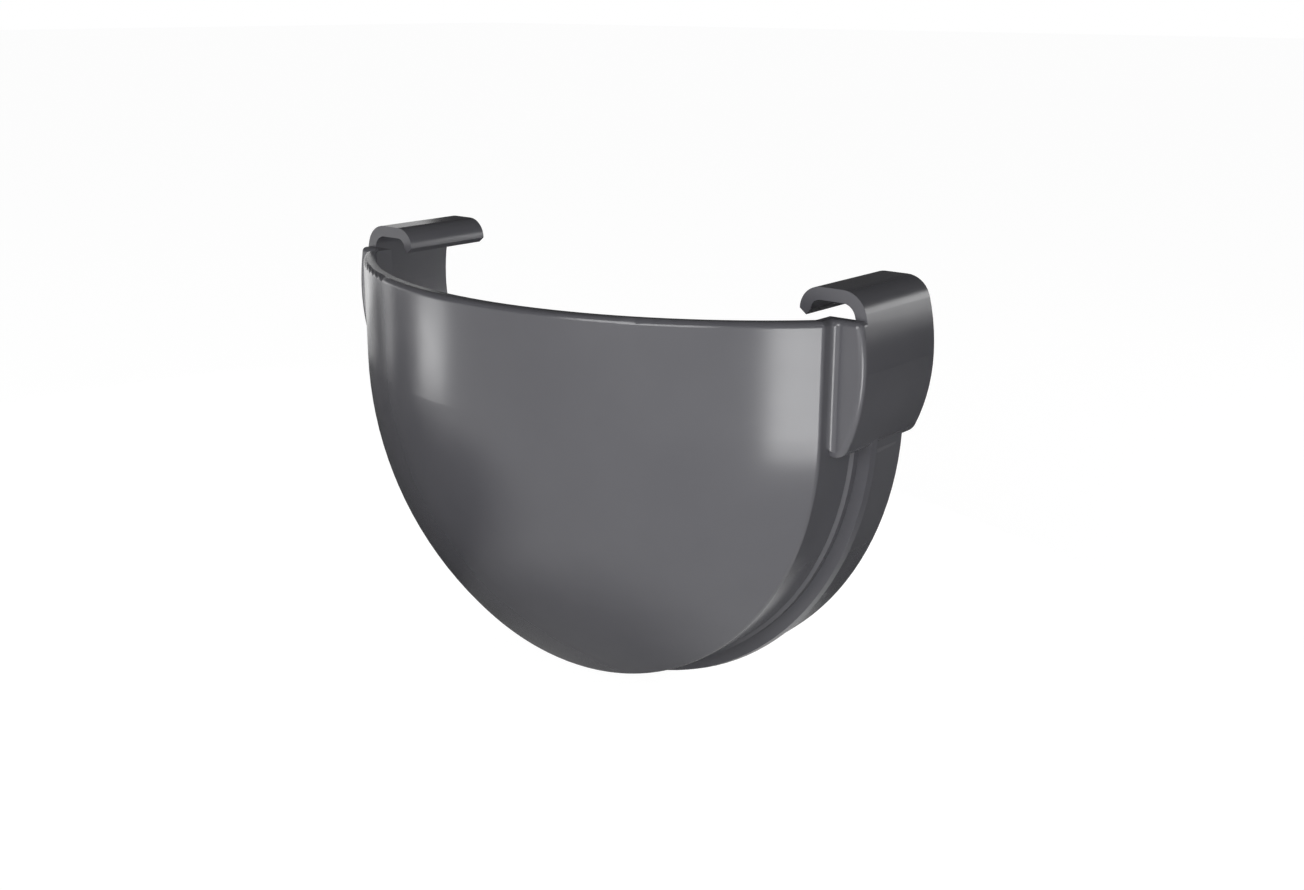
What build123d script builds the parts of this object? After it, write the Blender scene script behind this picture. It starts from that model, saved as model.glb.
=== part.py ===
from build123d import *
import os
from math import atan2, degrees, sqrt

# Gutter end cap: one moulding that closes the end of a half-round gutter.
# X runs across the gutter, Y runs along it from the closed face to the open socket, Z is up.
# Zero is midway between the hooks, level with the cap's top edge, on the plane of the hooks' front ends.

# Gutter that the cap closes, and the play of its end in the socket
gutter_radius = 65.0
socket_clearance = 0.1

# Walls and rounding
wall = 2.5
face_edge_round = 1.2
face_inner_round = 1.0
top_edge_round = 1.1
web_edge_round = 1.3
web_inner_round = 1.4
hook_mouth_bevel = 0.5

# Front part: a half-round bowl with upright sides, closed by a face that bows forward
straight_height = 22.8
side_front = 5.8
side_depth = 5.3
face_bow = 28.0

# Socket ring: a low step, a narrow land, then the ring that takes the gutter
land_height = 0.8
land_depth = 2.0
land_slope = (0.75, 0.35)
ring_rise = 3.3
ring_depth = 11.9

# Rib around the front of the ring, and the low band behind it that falls away towards the back
rib_height = 0.6
rib_depth = 1.7
rib_slope = (0.4, 1.5)
band_height = 0.25
band_back_height = 0.1
band_margin = 2.1
band_gap = 0.9
band_ramp = 1.1

# Hooks: a side plate with a slight belly, a flat crown and a short turned-down lip
bead_room = 3.6
hook_width = 16.4
hook_overhang = 4.6
hook_height = 5.3
hook_floor_depth = 27.2
plate_belly_depth = 10.0
plate_upper_radius = 42.0
plate_lower_radius = 36.0
floor_corner_radius = 3.5
crown_radius = 5.5
lip_radius = 4.5
lip_tip_drop = 0.4
lip_tip_inset = 1.5

# Room for cutting tools beyond the faces that they cut, overlap of joined pieces, and a small tolerance
clear = 5.0
sink = 0.3
touch = 0.01

# Places of the bowl and its bowed face, worked out from the sizes above
socket_inner_radius = gutter_radius + socket_clearance
socket_radius = socket_inner_radius + wall
cap_radius = socket_radius - ring_rise
inner_radius = cap_radius - wall
face_reach = side_front + face_bow
face_bow_radius = (cap_radius**2 + face_bow**2) / (2 * face_bow)
bow_centre_y = face_bow_radius - face_reach

# Places of the socket ring
land_radius = cap_radius + land_height
rib_radius = socket_radius + rib_height
band_radius = socket_radius + band_height
ring_front = side_depth + land_depth
ring_back = ring_front + ring_depth
shoulder_y = ring_front + wall

# Places of the hooks
hook_depth = ring_back + hook_overhang
plate_reach = socket_radius + bead_room
hook_floor_z = -hook_floor_depth
belly_z = -plate_belly_depth
upper_centre = (plate_reach - plate_upper_radius, belly_z)
lower_centre = (plate_reach - plate_lower_radius, belly_z)
floor_corner_z = hook_floor_z + floor_corner_radius
floor_corner_run = sqrt((plate_lower_radius - floor_corner_radius) ** 2 - (floor_corner_z - belly_z) ** 2)
floor_centre = (lower_centre[0] + floor_corner_run, floor_corner_z)
crown_z = hook_height - crown_radius
crown_run = sqrt((plate_upper_radius - crown_radius) ** 2 - (crown_z - belly_z) ** 2)
crown_centre = (upper_centre[0] + crown_run, crown_z)
lip_reach = plate_reach - hook_width
lip_centre = (lip_reach + lip_radius, hook_height - lip_radius)


def along_y(face, start, end):
    """Solid made by running a face, drawn in X and Z, from one depth to another."""
    return Pos(0, start, 0) * extrude(Plane.XZ * face, -(end - start))


def bearing(centre, point):
    """Angle of a point seen from a centre, in degrees."""
    return degrees(atan2(point[1] - centre[1], point[0] - centre[0]))


def bowl_prism(radius, start, end, top=0.0):
    """Half-round bowl with upright sides, run from one depth to another."""
    left = (-radius, -straight_height)
    right = (radius, -straight_height)
    bowl = ThreePointArc(left, (0, -straight_height - radius), right)
    sides = Polyline(right, (radius, top), (-radius, top), left)
    return along_y(make_face(bowl + sides), start, end)


def bowed_body(radius, top=0.0):
    """Ball below and upright cylinder above, whose front is the bow of the face."""
    height = straight_height + top
    ball = Sphere(radius)
    column = Pos(0, 0, height / 2) * Cylinder(radius, height)
    return Pos(0, bow_centre_y, -straight_height) * (ball + column)


def side_curve(inset):
    """Outline of the side plate, from the pocket's floor up to the crown, moved inwards by inset."""
    low = bearing(lower_centre, floor_centre)
    high = bearing(upper_centre, crown_centre)
    corner = CenterArc(floor_centre, floor_corner_radius - inset, -90, low + 90)
    lower = CenterArc(lower_centre, plate_lower_radius - inset, low, -low)
    upper = CenterArc(upper_centre, plate_upper_radius - inset, 0, high)
    return corner + lower + upper


def crown_curve(inset):
    """Outline of the crown and the lip, moved inwards by inset."""
    high = bearing(upper_centre, crown_centre)
    corner = CenterArc(crown_centre, crown_radius - inset, high, 90 - high)
    top = hook_height - inset
    crown = Line((crown_centre[0], top), (lip_centre[0], top))
    lip = CenterArc(lip_centre, lip_radius - inset, 90, 90)
    return corner + crown + lip


def hook_section():
    """Section of the whole hook in X and Z: pocket floor, side plate, crown and lip."""
    outer_lip = (lip_reach, lip_centre[1])
    inner_lip = (lip_reach + wall, lip_centre[1])
    tip = (lip_reach + lip_tip_inset, -lip_tip_drop)
    lip_end = Polyline(outer_lip, tip, inner_lip)
    floor_end = Polyline(
        (floor_centre[0], hook_floor_z + wall),
        (socket_inner_radius - wall, hook_floor_z + wall),
        (socket_inner_radius - wall, hook_floor_z),
        (floor_centre[0], hook_floor_z),
    )
    outer = side_curve(0) + crown_curve(0)
    inner = side_curve(wall) + crown_curve(wall)
    return make_face(outer + lip_end + inner + floor_end)


def side_region(inset, inner_x):
    """Area between an upright line at inner_x and the side plate's curve, up to the top edge."""
    low = bearing(lower_centre, floor_centre)
    high = degrees(atan2(-belly_z, sqrt((plate_upper_radius - inset) ** 2 - belly_z**2)))
    floor_z = hook_floor_z + inset
    corner = CenterArc(floor_centre, floor_corner_radius - inset, -90, low + 90)
    lower = CenterArc(lower_centre, plate_lower_radius - inset, low, -low)
    upper = CenterArc(upper_centre, plate_upper_radius - inset, 0, high)
    top_end = upper @ 1
    closing = Polyline(
        (top_end.X, top_end.Y),
        (inner_x, top_end.Y),
        (inner_x, floor_z),
        (floor_centre[0], floor_z),
    )
    return make_face(corner + lower + upper + closing)


def both_sides(piece):
    """A piece on the right and its mirror image on the left."""
    return piece + mirror(piece, Plane.YZ)


def flat_edges_at(shape, depth):
    """Edges of a shape that lie in the plane at one depth."""
    found = []
    for edge in shape.edges():
        box = edge.bounding_box()
        if abs(box.min.Y - depth) < touch and abs(box.max.Y - depth) < touch:
            found.append(edge)
    return found


def front_body():
    """Outside of the bowed face and the side wall, with the edge between them rounded."""
    body = bowl_prism(cap_radius, -face_reach - clear, side_depth) & bowed_body(face_bow_radius)
    return fillet(flat_edges_at(body, -side_front), face_edge_round)


def front_cavity():
    """Inside of the bowed face and the side wall, back to the shoulder."""
    radius = face_bow_radius - wall
    edge_y = bow_centre_y - sqrt(radius**2 - inner_radius**2)
    body = bowl_prism(inner_radius, -face_reach - clear, shoulder_y, clear) & bowed_body(radius, clear)
    return fillet(flat_edges_at(body, edge_y), face_inner_round)


def sloping_prism(radius, start, end, slope):
    """Bowl prism whose front edge slopes: by the first length inwards and by the second along the prism."""
    prism = bowl_prism(radius, start, end)
    front = prism.faces().sort_by(Axis.Y)[0]
    edges = [e for e in flat_edges_at(prism, start) if e.center().Z < -touch]
    return chamfer(edges, slope[0], slope[1], reference=front)


def ring_body():
    """Outside of the land, the socket ring and the rib around the ring's front."""
    rib_back = ring_front + rib_depth
    land = sloping_prism(land_radius, side_depth, ring_front, land_slope)
    rib = sloping_prism(rib_radius, ring_front, rib_back, rib_slope)
    return land + rib + bowl_prism(socket_radius, rib_back, ring_back)


def ring_band():
    """Band around the outside of the ring, with a sloping end under each hook."""
    front = ring_front + rib_depth - sink
    back = ring_back - band_margin
    core = socket_radius - sink
    profile = Polyline(
        (core, front),
        (band_radius, front),
        (socket_radius + band_back_height, back),
        (core, back),
        close=True,
    )
    band = Pos(0, 0, -straight_height) * revolve(make_face(profile), Axis.Y)
    slope = band_ramp / band_height
    top = hook_floor_z - band_gap
    far = socket_radius + clear
    low = -straight_height - far
    right = [(far, low), (far, top - clear * slope), (core, top + sink * slope)]
    left = [(-x, z) for x, z in reversed(right)]
    return band & along_y(make_face(Polyline(*right, *left, close=True)), front, back)


def hook():
    """Right hook, with its inner edges bevelled where the gutter enters."""
    body = along_y(hook_section(), 0, hook_depth)
    inner = side_curve(wall) + crown_curve(wall)
    middles = [Vector(edge.center().X, hook_depth, edge.center().Y) for edge in inner.edges()]
    mouth = []
    for edge in flat_edges_at(body, hook_depth):
        if any((edge.center() - middle).length < touch for middle in middles):
            mouth.append(edge)
    body = chamfer(mouth, hook_mouth_bevel)
    return body - bowl_prism(socket_inner_radius, shoulder_y, hook_depth + clear, -clear)


def web_bead():
    """Concave rounding between the side wall and the right web, run out at a slope above the floor."""
    reach = web_inner_round
    size = reach + sink
    block = Pos(cap_radius + (reach - sink) / 2, -wall - (reach - sink) / 2) * Rectangle(size, size)
    shape = block - Pos(cap_radius + reach, -wall - reach) * Circle(reach)
    foot = hook_floor_z + web_edge_round
    bead = Pos(0, 0, foot) * extrude(Plane.XY * shape, -foot)
    slope = Plane(origin=(cap_radius, -wall, foot), z_dir=(0, -1, -1))
    return split(bead, bisect_by=slope, keep=Keep.BOTTOM)


def outside():
    """Front part with the hooks' side pockets still filled, and its outer edges rounded."""
    pocket = along_y(side_region(0, inner_radius + wall / 2), -wall, hook_depth)
    body = front_body() + both_sides(pocket)
    outline = []
    for edge in flat_edges_at(body, -wall):
        if edge.center().Z < -touch and abs(edge.center().X) > cap_radius + touch:
            outline.append(edge)
    body = fillet(outline, web_edge_round) + both_sides(web_bead())
    top = [e for e in body.edges() if e.bounding_box().min.Z > -touch and e.center().Y < -wall / 2]
    return fillet(top, top_edge_round)


def hollows():
    """Everything that the gutter's end and the water take up: the bowl, the socket and the two pockets."""
    socket = bowl_prism(socket_inner_radius, shoulder_y, hook_depth + clear)
    pocket = along_y(side_region(wall, inner_radius - wall), 0, hook_depth + clear)
    return front_cavity() + socket + both_sides(pocket)


cap = outside() + ring_body() + ring_band() - hollows() + both_sides(hook())

os.makedirs("parts", exist_ok=True)
export_step(cap, "parts/end_cap.step")
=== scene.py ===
from math import cos, pi, radians, sin

import bpy
from mathutils import Matrix, Vector


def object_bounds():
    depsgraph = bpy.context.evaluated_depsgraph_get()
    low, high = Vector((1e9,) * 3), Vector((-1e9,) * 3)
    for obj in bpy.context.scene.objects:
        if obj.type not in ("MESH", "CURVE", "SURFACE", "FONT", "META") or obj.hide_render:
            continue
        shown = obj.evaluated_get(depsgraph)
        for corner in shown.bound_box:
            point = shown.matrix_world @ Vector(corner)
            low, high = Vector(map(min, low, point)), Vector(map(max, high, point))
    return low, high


# Gutter end cap on a pale floor, lit by soft panels. Metres, in the part's own frame.

# Camera: place, turn to the left, tilt down, roll and lens of the photograph
CAMERA_PLACE = (0.2189, -0.2461, 0.0584)
CAMERA_YAW = 39.18
CAMERA_PITCH = 16.15
CAMERA_ROLL = 0.23
CAMERA_LENS = 42.95
SENSOR = 36.0
NEAR_CLIP = 0.01
FAR_CLIP = 50.0

# Plastic: its darkest and lightest grey, its smoothest and roughest patches, and how far it bends light
DARKEST_GREY = (0.080, 0.0795, 0.089, 1.0)
LIGHTEST_GREY = (0.088, 0.0875, 0.097, 1.0)
SMOOTHEST = 0.21
ROUGHEST = 0.24
PLASTIC_IOR = 1.53

# Scale and detail of the noises in the plastic, and the part of a noise's range that carries most of it
CLOUD_NOISE = (45.0, 3.0)
PATCH_NOISE = (160.0, 4.0)
GRAIN_NOISE = (2600.0, 2.0)
NOISE_LOW = 0.3
NOISE_HIGH = 0.7

# Strength and height of the mould's grain
GRAIN_STRENGTH = 0.03
GRAIN_HEIGHT = 0.000005

# Floor: its grey, how rough it is, and how far it runs to each side
FLOOR_GREY = (0.5, 0.5, 0.5, 1.0)
FLOOR_ROUGHNESS = 0.9
FLOOR_REACH = 6.0

# Share of plain white in what the camera and reflections see of the floor, and the strength of that white
FLOOR_WHITE = 0.75
FLOOR_GLOW = 1.28

# Soft panels: name, azimuth, distance, width, lowest edge, highest edge and brightness
PANELS = (
    ("front_panel", 10.0, 0.80, 0.60, 0.00, 0.50, 6.0),
    ("left_strip", -60.0, 0.277, 0.062, -0.085, -0.046, 4.7),
    ("thin_left_strip", -87.0, 0.333, 0.026, -0.088, 0.000, 2.0),
    ("far_left_panel", -106.0, 0.333, 0.074, -0.088, 0.000, 0.6),
    ("rim_panel", -122.0, 0.333, 0.060, -0.015, 0.070, 0.9),
    ("right_panel", 62.0, 0.215, 0.062, -0.088, -0.016, 7.4),
    ("high_right_panel", 85.0, 0.80, 0.50, 0.45, 0.85, 1.5),
    ("wide_back_panel", 149.0, 0.51, 0.190, 0.005, 0.17, 1.2),
    ("back_panel", 149.0, 0.50, 0.190, 0.035, 0.140, 2.4),
)

# Panel behind the object that lights its inside and shows in no reflection
BACK_FILL = ("back_fill", 160.0, 0.150, 0.060, -0.070, -0.012, 16.0)

# Dark wall of painted shade behind the object, to the left, seen only in reflections: azimuth, distance,
# width and height
REFLECTED_SHADE_WALL = (205.0, 0.60, 0.80, 0.50)

# Dark oval cards of painted shade on the floor, seen only in reflections: middle in X and Y, half width
# and half depth, share of the radius over which the rim fades, and strength
REFLECTED_SHADE_CARDS = (
    (0.400, 1.600, 1.600, 1.350, 0.08, 1.0),
    (0.100, 0.430, 0.500, 0.410, 0.08, 1.0),
    (-0.358, -0.010, 0.266, 0.186, 0.20, 1.0),
    (-0.133, -0.020, 0.134, 0.142, 0.43, 1.0),
    (-0.004, 0.000, 0.064, 0.064, 0.60, 0.78),
)
CARD_GAP = 0.0003
# Grey of the painted shade in the cards and the wall, seen only in reflections
REFLECTED_SHADE_GREY = (0.03, 0.03, 0.03, 1.0)

# World: how far a direction points up, from 0 for level to 1 for straight up, and the colour there
HORIZON = (0.05, (1.0, 1.0, 1.0, 1.0))
SKY = (0.15, (0.10, 0.10, 0.10, 1.0))

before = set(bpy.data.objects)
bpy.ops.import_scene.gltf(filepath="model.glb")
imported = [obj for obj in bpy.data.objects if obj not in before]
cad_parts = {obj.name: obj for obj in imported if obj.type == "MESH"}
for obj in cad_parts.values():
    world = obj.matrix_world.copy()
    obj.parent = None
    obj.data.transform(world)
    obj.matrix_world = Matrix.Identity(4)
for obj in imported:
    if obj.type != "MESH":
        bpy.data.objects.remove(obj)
cad_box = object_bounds()
low_z = cad_box[0].z


def set_input(node, name, value):
    node.inputs[name].default_value = value


def new_material(name):
    """New material, with its nodes, its links and its shader."""
    material = bpy.data.materials.new(name)
    material.use_nodes = True
    nodes = material.node_tree.nodes
    return material, nodes, material.node_tree.links, nodes["Principled BSDF"]


def set_ramp(ramp, low, high):
    """Sets both ends of a colour ramp, each given as a position and a colour."""
    for end, (position, color) in enumerate((low, high)):
        ramp.color_ramp.elements[end].position = position
        ramp.color_ramp.elements[end].color = color


def link_object(name, data):
    """Adds an object to the scene."""
    thing = bpy.data.objects.new(name, data)
    bpy.context.scene.collection.objects.link(thing)
    return thing


def add_sheet(name, corners, material):
    """Flat piece with four corners."""
    mesh = bpy.data.meshes.new(name)
    mesh.from_pydata(corners, [], [(0, 1, 2, 3)])
    mesh.materials.append(material)
    return link_object(name, mesh)


def show_in_reflections_only(thing):
    thing.visible_camera = False
    thing.visible_diffuse = False
    thing.visible_shadow = False


def noise(nodes, links, coords, scale, detail):
    texture = nodes.new("ShaderNodeTexNoise")
    set_input(texture, "Scale", scale)
    set_input(texture, "Detail", detail)
    links.new(coords, texture.inputs["Vector"])
    return texture.outputs["Fac"]


def spread(nodes, links, source, low, high):
    """Turns a noise value into a value between low and high."""
    span = nodes.new("ShaderNodeMapRange")
    set_input(span, "From Min", NOISE_LOW)
    set_input(span, "From Max", NOISE_HIGH)
    set_input(span, "To Min", low)
    set_input(span, "To Max", high)
    links.new(source, span.inputs["Value"])
    return span.outputs["Result"]


def moulded_plastic():
    """Satin graphite plastic: a faint cloudiness in its grey, and the fine grain of a mould."""
    material, nodes, links, shader = new_material("graphite_plastic")
    coords = nodes.new("ShaderNodeTexCoord").outputs["Object"]

    cloud = noise(nodes, links, coords, *CLOUD_NOISE)
    ramp = nodes.new("ShaderNodeValToRGB")
    set_ramp(ramp, (NOISE_LOW, DARKEST_GREY), (NOISE_HIGH, LIGHTEST_GREY))
    links.new(cloud, ramp.inputs["Fac"])
    links.new(ramp.outputs["Color"], shader.inputs["Base Color"])

    patches = noise(nodes, links, coords, *PATCH_NOISE)
    roughness = spread(nodes, links, patches, SMOOTHEST, ROUGHEST)
    links.new(roughness, shader.inputs["Roughness"])

    grain = noise(nodes, links, coords, *GRAIN_NOISE)
    bump = nodes.new("ShaderNodeBump")
    set_input(bump, "Strength", GRAIN_STRENGTH)
    set_input(bump, "Distance", GRAIN_HEIGHT)
    links.new(grain, bump.inputs["Height"])
    links.new(bump.outputs["Normal"], shader.inputs["Normal"])

    set_input(shader, "IOR", PLASTIC_IOR)
    return material


def add_camera():
    data = bpy.data.cameras.new("photo_camera")
    data.sensor_width = SENSOR
    data.lens = CAMERA_LENS
    data.clip_start = NEAR_CLIP
    data.clip_end = FAR_CLIP
    camera = link_object("photo_camera", data)
    turn = Matrix.Rotation(radians(CAMERA_YAW), 4, "Z")
    tilt = Matrix.Rotation(radians(90.0 - CAMERA_PITCH), 4, "X")
    roll = Matrix.Rotation(radians(CAMERA_ROLL), 4, "Z")
    camera.matrix_world = Matrix.Translation(CAMERA_PLACE) @ turn @ tilt @ roll
    bpy.context.scene.camera = camera


def add_panel(name, azimuth, distance, width, low, high, brightness):
    """Upright soft panel that faces the object. Azimuth 0 is in front of the face, 90 to the right."""
    data = bpy.data.lights.new(name, "AREA")
    data.shape = "RECTANGLE"
    data.size = width
    data.size_y = high - low
    data.energy = brightness * pi * width * (high - low)
    panel = link_object(name, data)
    angle = radians(azimuth)
    away = Vector((sin(angle), -cos(angle), 0.0))
    panel.location = away * distance + Vector((0.0, 0.0, (low + high) / 2))
    panel.rotation_euler = away.to_track_quat("Z", "Y").to_euler()
    panel.visible_camera = False
    return panel


def seen_directly(nodes, links):
    """1 where the camera, a reflection or clear material sees a surface, and 0 where it lights others."""
    path = nodes.new("ShaderNodeLightPath")
    either = nodes.new("ShaderNodeMath")
    either.operation = "MAXIMUM"
    links.new(path.outputs["Is Camera Ray"], either.inputs[0])
    links.new(path.outputs["Is Glossy Ray"], either.inputs[1])
    any_ray = nodes.new("ShaderNodeMath")
    any_ray.operation = "MAXIMUM"
    links.new(either.outputs["Value"], any_ray.inputs[0])
    links.new(path.outputs["Is Transmission Ray"], any_ray.inputs[1])
    return any_ray.outputs["Value"]


def pale_floor():
    """Floor that looks white to the camera and still takes the object's shadow."""
    material, nodes, links, shader = new_material("pale_floor")
    set_input(shader, "Base Color", FLOOR_GREY)
    set_input(shader, "Roughness", FLOOR_ROUGHNESS)
    white = nodes.new("ShaderNodeEmission")
    set_input(white, "Color", (1.0, 1.0, 1.0, 1.0))
    set_input(white, "Strength", FLOOR_GLOW)
    share = nodes.new("ShaderNodeMath")
    share.operation = "MULTIPLY"
    share.inputs[1].default_value = FLOOR_WHITE
    links.new(seen_directly(nodes, links), share.inputs[0])
    mix = nodes.new("ShaderNodeMixShader")
    links.new(share.outputs["Value"], mix.inputs["Fac"])
    links.new(shader.outputs["BSDF"], mix.inputs[1])
    links.new(white.outputs["Emission"], mix.inputs[2])
    links.new(mix.outputs["Shader"], nodes["Material Output"].inputs["Surface"])
    signs = ((-1, -1), (1, -1), (1, 1), (-1, 1))
    corners = [(x * FLOOR_REACH, y * FLOOR_REACH, low_z) for x, y in signs]
    floor = add_sheet("floor", corners, material)


def reflected_shade_card(name, middle_x, middle_y, half_width, half_depth, rim, strength, height):
    """Oval card of painted shade with a soft rim that shows only in reflections, and paints them dark
    near the object.
    """
    material, nodes, links, shader = new_material(name)
    set_input(shader, "Base Color", REFLECTED_SHADE_GREY)
    inside = nodes.new("ShaderNodeTexGradient")
    inside.gradient_type = "SPHERICAL"
    links.new(nodes.new("ShaderNodeTexCoord").outputs["Object"], inside.inputs["Vector"])
    fade = nodes.new("ShaderNodeMapRange")
    fade.interpolation_type = "SMOOTHSTEP"
    set_input(fade, "From Max", rim)
    set_input(fade, "To Max", strength)
    links.new(inside.outputs["Fac"], fade.inputs["Value"])
    clear = nodes.new("ShaderNodeBsdfTransparent")
    mix = nodes.new("ShaderNodeMixShader")
    links.new(fade.outputs["Result"], mix.inputs["Fac"])
    links.new(clear.outputs["BSDF"], mix.inputs[1])
    links.new(shader.outputs["BSDF"], mix.inputs[2])
    links.new(mix.outputs["Shader"], nodes["Material Output"].inputs["Surface"])
    card = add_sheet(name, [(-1, -1, 0), (1, -1, 0), (1, 1, 0), (-1, 1, 0)], material)
    card.location = (middle_x, middle_y, height)
    card.scale = (half_width, half_depth, 1.0)
    show_in_reflections_only(card)


def reflected_shade_wall(azimuth, distance, width, height):
    """Upright dark card of painted shade that shows only in reflections."""
    material, _, _, shader = new_material("reflected_shade_wall")
    set_input(shader, "Base Color", REFLECTED_SHADE_GREY)
    corners = [(-0.5, 0, 0), (0.5, 0, 0), (0.5, 0, 1), (-0.5, 0, 1)]
    wall = add_sheet("reflected_shade_wall", corners, material)
    angle = radians(azimuth)
    wall.location = (distance * sin(angle), -distance * cos(angle), low_z)
    wall.rotation_euler = (0.0, 0.0, angle)
    wall.scale = (width, 1.0, height)
    show_in_reflections_only(wall)


def studio_world():
    """Pale at the horizon and a low grey above it."""
    world = bpy.data.worlds.new("studio")
    bpy.context.scene.world = world
    world.use_nodes = True
    nodes = world.node_tree.nodes
    links = world.node_tree.links
    nodes.clear()
    output = nodes.new("ShaderNodeOutputWorld")
    light = nodes.new("ShaderNodeBackground")
    coords = nodes.new("ShaderNodeTexCoord")
    split = nodes.new("ShaderNodeSeparateXYZ")
    ramp = nodes.new("ShaderNodeValToRGB")
    set_ramp(ramp, HORIZON, SKY)
    links.new(coords.outputs["Generated"], split.inputs["Vector"])
    links.new(split.outputs["Z"], ramp.inputs["Fac"])
    links.new(ramp.outputs["Color"], light.inputs["Color"])
    links.new(light.outputs["Background"], output.inputs["Surface"])


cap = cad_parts["end_cap"]
plastic = moulded_plastic()
for slot in cap.material_slots:
    slot.material = plastic

pale_floor()
studio_world()
# Painted shade that only reflections show: dark cards on the floor and a dark wall
for number, card in enumerate(REFLECTED_SHADE_CARDS, 1):
    reflected_shade_card(f"reflected_shade_card_{number}", *card, low_z + number * CARD_GAP)
reflected_shade_wall(*REFLECTED_SHADE_WALL)
for panel in PANELS:
    add_panel(*panel)
add_panel(*BACK_FILL).visible_glossy = False
add_camera()
bpy.context.scene.view_settings.view_transform = "Standard"
